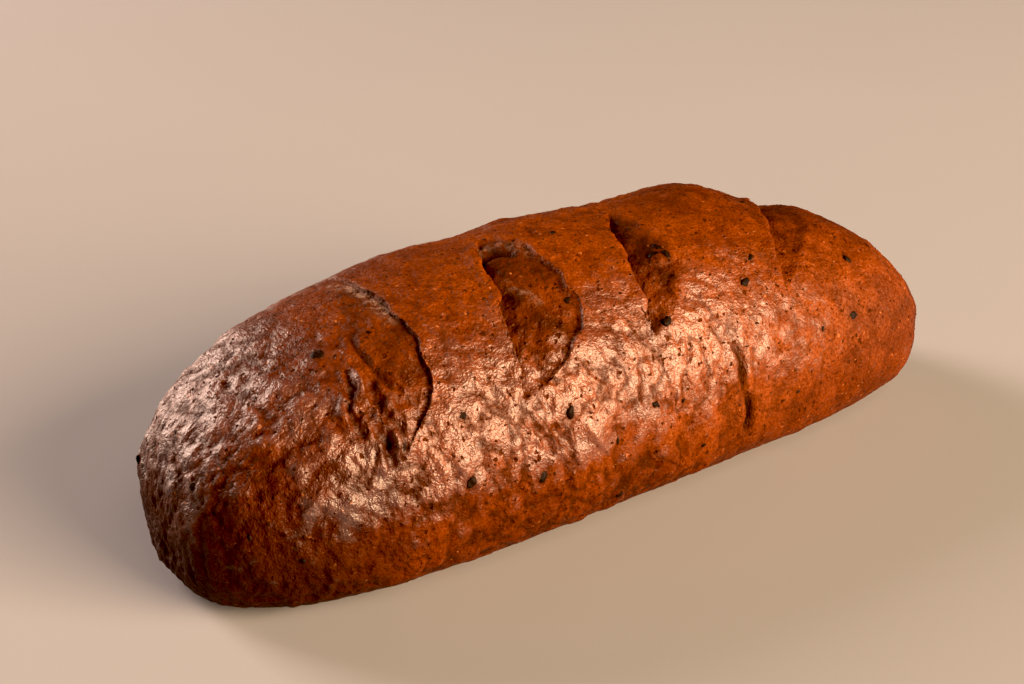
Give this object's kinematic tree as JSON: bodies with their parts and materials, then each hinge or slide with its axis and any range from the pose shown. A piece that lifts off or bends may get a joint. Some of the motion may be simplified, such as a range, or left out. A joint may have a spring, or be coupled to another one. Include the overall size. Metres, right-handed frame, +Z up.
{
  "type": "bloomer loaf",
  "caption": "Free-baked bloomer loaf: a long rounded bar of dark malted bread with slanting slashes over its top, a rough seeded crust and a flat base to rest on.",
  "frame": {"origin": "on the base, under the middle of the loaf", "axes": "+X along the loaf to its blunter end, +Z up, the slashes opening towards -Y"},
  "size_m": [0.3168, 0.124, 0.0896],
  "materials": {
    "crust": "browned bread crust with a soft sheen, darker and duller in the slashes",
    "kernel": "dark roasted whole grains and flakes baked into the crust"
  },
  "bodies": {
    "root": {"loaf": "crust"}
  },
  "joints": []
}
